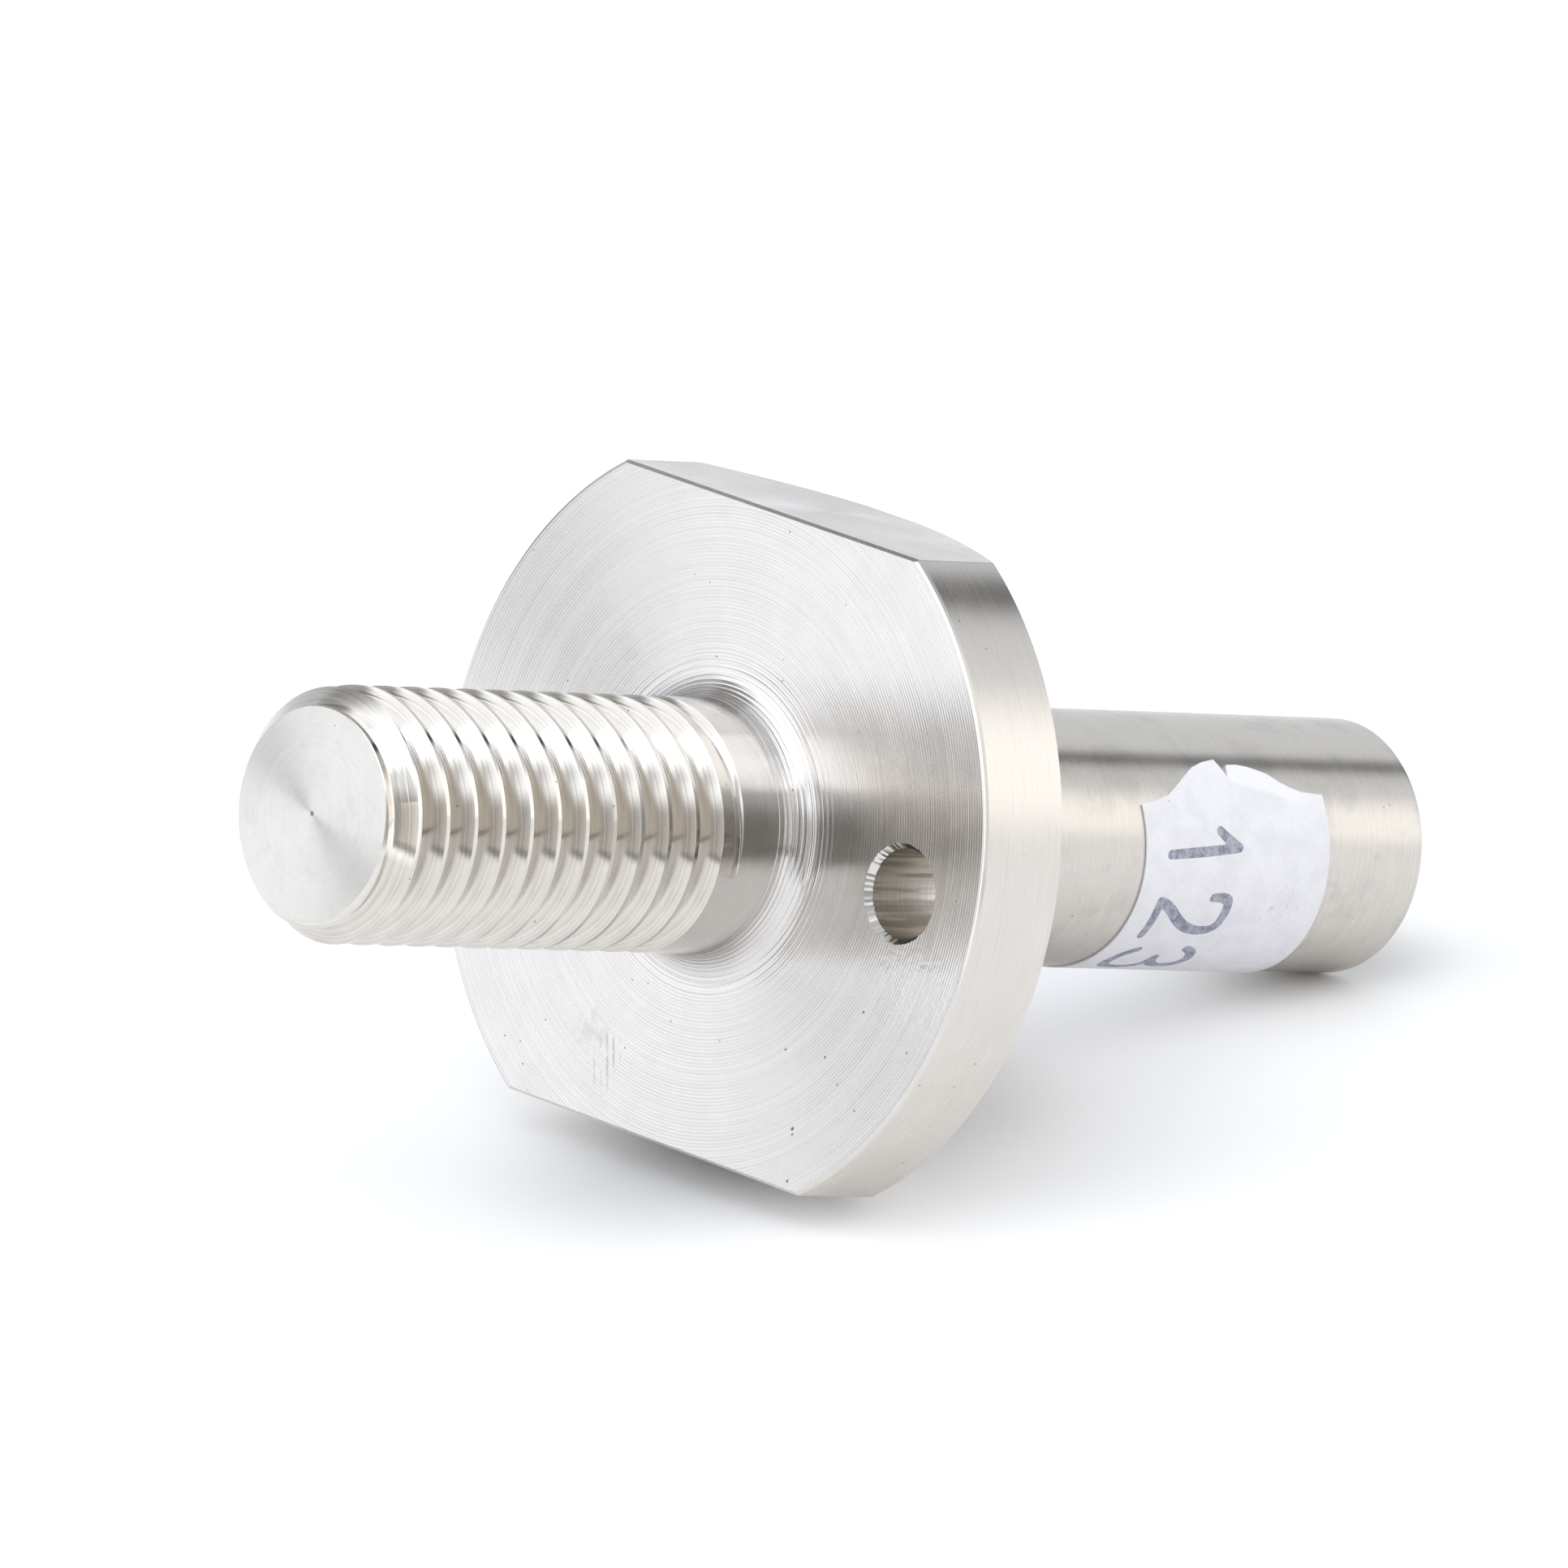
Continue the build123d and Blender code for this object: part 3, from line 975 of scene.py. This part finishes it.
def torn_edge_cutter(look):
    """Block whose lower side is the ragged line of the tear, drawn point by point."""
    reach, past_label = 0.0085, 0.004
    outer = look.inner_radius + look.thickness
    points = [(s * MM, outer * sin(radians(angle - TEAR_MIDDLE))) for s, angle in TEAR_LINE]
    place, across = points[0]
    cutter = primitive(bpy.ops.mesh.primitive_plane_add, size=MM, location=(0, across, place))
    edit(cutter, "VERT")
    select_all()
    bpy.ops.mesh.merge(type="CENTER")
    for next_place, next_across in points[1:]:
        draw_out(0, next_across - across, next_place - place)
        place, across = next_place, next_across
    select_all()
    bpy.ops.mesh.subdivide(number_cuts=9, fractal=0.2, fractal_along_normal=0.0, seed=4)
    resize((0, 1, 1))
    draw_out(0, -outer - past_label, 0)
    select_all()
    draw_out(reach, 0, 0)
    close_edit()
    cutter.rotation_euler = (0, 0, radians(TEAR_MIDDLE))
    apply_place(cutter)
    return cutter


def pen_stroke(points, look):
    """One stroke of a figure, drawn flat, and its two round ends, as a pen leaves them."""
    end_share = 0.82
    start_fresh()
    bpy.ops.curve.primitive_nurbs_path_add()
    stroke = bpy.context.object
    stroke.data.splines.clear()
    line = stroke.data.splines.new("NURBS")
    line.points.add(len(points) - 1)
    for place, (x, y) in enumerate(points):
        line.points[place].co = (x * look.figure_height, y * look.figure_height, 0, 1)
        line.points[place].radius = end_share if place in (0, len(points) - 1) else 1.0
    line.order_u = 3
    line.use_endpoint_u = True
    line.resolution_u = 10
    stroke.data.bevel_depth = look.stroke / 2
    stroke.data.bevel_resolution = 6
    stroke.data.use_fill_caps = True
    bpy.ops.object.convert(target="MESH")
    parts = [bpy.context.object]
    for x, y in (points[0], points[-1]):
        parts.append(primitive(
            bpy.ops.mesh.primitive_uv_sphere_add, segments=20, ring_count=10,
            radius=look.stroke / 2 * end_share, location=(x * look.figure_height, y * look.figure_height, 0),
        ))
    return parts


def ink_figure(look, figure, angle, foot):
    """One figure: its strokes are joined, pressed to a film of ink, and bent round the label."""
    top = look.inner_radius + look.thickness
    parts = [part for points in STROKES[figure] for part in pen_stroke(points, look)]
    take(parts[0])
    for part in parts[1:]:
        part.select_set(True)
    bpy.ops.object.join()
    piece = bpy.context.object
    use_modifier(piece, "REMESH", mode="VOXEL", voxel_size=0.04 * MM)
    edit(piece, "VERT")
    select_all()
    film = 0.02
    resize((1, 1, film))
    mesh = bmesh.from_edit_mesh(piece.data)
    for vert in mesh.verts:
        turn = radians(angle) + (vert.co.x - FIGURE_LEAN * vert.co.y) / top
        out = top + vert.co.z
        vert.co = Vector((cos(turn) * out, sin(turn) * out, foot + vert.co.y))
    bmesh.update_edit_mesh(piece.data)
    close_edit()
    smooth(piece, 60)
    return piece


# Studio

def build_light(scene, look):
    """A pale tent: a large light above the left, a small one low at the right, and an open dark front."""
    world = bpy.data.worlds.new("studio")
    world.use_nodes = True
    world.node_tree.nodes.clear()
    scene.world = world
    nodes = Nodes(world.node_tree)
    way = nodes.add("ShaderNodeTexCoord").outputs["Generated"]
    level_way = nodes.vector("NORMALIZE", nodes.vector("MULTIPLY", way, (1, 1, 0)))
    height = nodes.math("ARCSINE", nodes.dot(way, (0, 0, 1)))

    def toward(azimuth, elevation):
        a, e = radians(azimuth), radians(elevation)
        return Vector((cos(e) * cos(a), cos(e) * sin(a), sin(e)))

    def panel(azimuth, elevation, half_width, half_height, soft):
        """Mask of a panel of the tent, in degrees."""
        facing = nodes.dot(level_way, tuple(toward(azimuth, 0)))
        widest, narrowest = min(180, half_width + soft), max(0, half_width - soft)
        across = nodes.ramp(facing, cos(radians(widest)), cos(radians(narrowest)))
        off = nodes.math("ABSOLUTE", nodes.minus(height, radians(elevation)))
        return nodes.times(across, nodes.ramp(off, radians(half_height + soft), radians(half_height - soft)))

    def gap(start, end, half_width, soft):
        """Mask of a dark gap between two panels, from one direction to another."""
        start, end = toward(*start), toward(*end)
        off = nodes.math("ABSOLUTE", nodes.dot(way, tuple(start.cross(end).normalized())))
        band = nodes.ramp(off, sin(radians(half_width + soft)), sin(radians(half_width - soft)))
        reach, fade = start.angle(end) / 2, radians(6)
        along = nodes.dot(way, tuple((start + end).normalized()))
        return nodes.times(band, nodes.ramp(along, cos(reach + fade), cos(reach)))

    # Each panel covers those before it: azimuth, elevation, half width, half height and soft edge
    cool, warm, plain = (0.96, 0.995, 1.045), (1.0, 0.985, 0.955), (1.0, 1.0, 1.0)
    tone = rgba(cool, look.ceiling_level)
    for mask, brightness, tint in (
        (panel(40, 12, 40, 36, 8), look.wall_level, cool),
        (panel(98, 12, 22, 30, 8), look.wall_level * 0.67, cool),
        (panel(-18, 12, 12, 36, 6), look.wall_level, cool),
        (panel(140, 10, 22, 24, 8), look.side_level * 0.75, cool),
        (panel(180, 10, 22, 24, 8), look.side_level, cool),
        (panel(150, 38, 36, 8, 6), look.side_level * 1.25, cool),
        (panel(178, 64, 62, 20, 7), look.top_level, cool),
        (panel(-68, 20, 32, 34, 8), look.right_level, warm),
        (panel(-37, 9, 13, 15, 5), look.lamp_level, plain),
        (panel(-150, 58, 48, 13, 3), look.top_level * 1.5, cool),
        (panel(-140, 8, 32, 16, 6), look.front_level * 2.6, warm),
        (panel(-132, 14, 20, 19, 8), look.front_level, warm),
        (gap((9, 2), (-24, 60), 4.5, 3), look.gap_level, plain),
        (panel(94, 49, 23, 14, 4), look.gap_level * 3, plain),
        (panel(108, 3, 22, 4, 3), look.wall_level * 0.5, cool),
    ):
        tone = nodes.mix(mask, tone, rgba(tint, brightness))
    background = nodes.add("ShaderNodeBackground", {"Color": tone, "Strength": 1.0})
    nodes.add("ShaderNodeOutputWorld", {0: background.outputs[0]})


def build_camera(scene):
    """Camera at the photograph's angle."""
    data = bpy.data.cameras.new("camera")
    data.sensor_width = 36
    data.lens = CAMERA_LENS
    data.clip_start, data.clip_end = 0.01, 50
    camera = bpy.data.objects.new("camera", data)
    scene.collection.objects.link(camera)
    turn = Matrix((CAMERA_RIGHT, CAMERA_UPWARD, CAMERA_RIGHT.cross(CAMERA_UPWARD))).transposed().to_4x4()
    camera.matrix_world = Matrix.Translation(CAMERA_PLACE) @ turn
    scene.camera = camera


# Operators, one for each piece or group

class BOLT_OT_turned_bolt(bpy.types.Operator):
    """Build the bolt: turned blank, thread, flats and small hole"""

    bl_idname = "bolt.turned_bolt"
    bl_label = "Turned bolt"
    bl_options = {"REGISTER", "UNDO"}

    def execute(self, context):
        sizes = context.scene.bolt_sizes
        bolt = turned_blank(sizes)
        cut(bolt, groove_cutter(sizes))
        cut_flats(bolt, sizes)
        cut_hole(bolt, sizes)
        outward(bolt)
        smooth(bolt, 22)
        for face in bolt.data.polygons:
            if on_mouth(face, sizes):
                face.use_smooth = False
        use_modifier(bolt, "WEIGHTED_NORMAL", mode="FACE_AREA", weight=100, keep_sharp=True)
        dress_bolt(bolt, sizes, context.scene.steel_look)
        lay_down(bolt, "bolt")
        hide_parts("limit_bolt")
        return {"FINISHED"}


class BOLT_OT_paper_label(bpy.types.Operator):
    """Build the torn paper label round the shank"""

    bl_idname = "bolt.paper_label"
    bl_label = "Paper label"
    bl_options = {"REGISTER", "UNDO"}

    def execute(self, context):
        look = context.scene.label_look
        sheet = wrapped_sheet(look)
        cut(sheet, torn_edge_cutter(look))
        fewest_faces = 1000
        if len(sheet.data.polygons) < fewest_faces:
            raise RuntimeError("the tear took the whole label away")
        outward(sheet)
        smooth(sheet, 40)
        wear(sheet, label_paper("label_paper", look))
        lay_down(sheet, "paper_sheet")
        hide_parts("paper_label")
        return {"FINISHED"}


class BOLT_OT_figures(bpy.types.Operator):
    """Put plain figures in faded ink on the label"""

    bl_idname = "bolt.figures"
    bl_label = "Figures on the label"
    bl_options = {"REGISTER", "UNDO"}

    def execute(self, context):
        look = context.scene.label_look
        ink = faded_ink("label_ink", look)
        for place, figure in enumerate(look.figures):
            piece = ink_figure(look, figure, FIRST_FIGURE + place * FIGURE_STEP, FIGURE_FOOT)
            wear(piece, ink)
            lay_down(piece, f"figure_{place + 1}")
        return {"FINISHED"}


class BOLT_OT_studio(bpy.types.Operator):
    """Build the floor, the light and the camera"""

    bl_idname = "bolt.studio"
    bl_label = "Studio"
    bl_options = {"REGISTER", "UNDO"}

    def execute(self, context):
        look = context.scene.studio_look
        floor = primitive(bpy.ops.mesh.primitive_plane_add, size=6, location=(0, 0, 0))
        floor.name = "floor"
        wear(floor, studio_floor("studio_floor", look))
        build_light(context.scene, look)
        build_camera(context.scene)
        return {"FINISHED"}


class BOLT_PT_panel(bpy.types.Panel):
    """Builders of the limit bolt"""

    bl_label = "Limit bolt"
    bl_idname = "BOLT_PT_panel"
    bl_space_type = "VIEW_3D"
    bl_region_type = "UI"
    bl_category = "Limit bolt"

    def draw(self, context):
        for operator in BUILDERS:
            self.layout.operator(operator.bl_idname)


BUILDERS = (BOLT_OT_turned_bolt, BOLT_OT_paper_label, BOLT_OT_figures, BOLT_OT_studio)
GROUPS = {
    "bolt_sizes": BoltSizes,
    "steel_look": SteelLook,
    "label_look": LabelLook,
    "studio_look": StudioLook,
}


def register():
    for item in (*GROUPS.values(), *BUILDERS, BOLT_PT_panel):
        bpy.utils.register_class(item)
    for name, group in GROUPS.items():
        setattr(bpy.types.Scene, name, PointerProperty(type=group))


def unregister():
    for name in GROUPS:
        delattr(bpy.types.Scene, name)
    for item in reversed((*GROUPS.values(), *BUILDERS, BOLT_PT_panel)):
        bpy.utils.unregister_class(item)


def main():
    register()
    bpy.context.scene.view_settings.view_transform = "Standard"
    bpy.ops.bolt.turned_bolt()
    bpy.ops.bolt.paper_label()
    bpy.ops.bolt.figures()
    bpy.ops.bolt.studio()


if __name__ == "__main__":
    main()
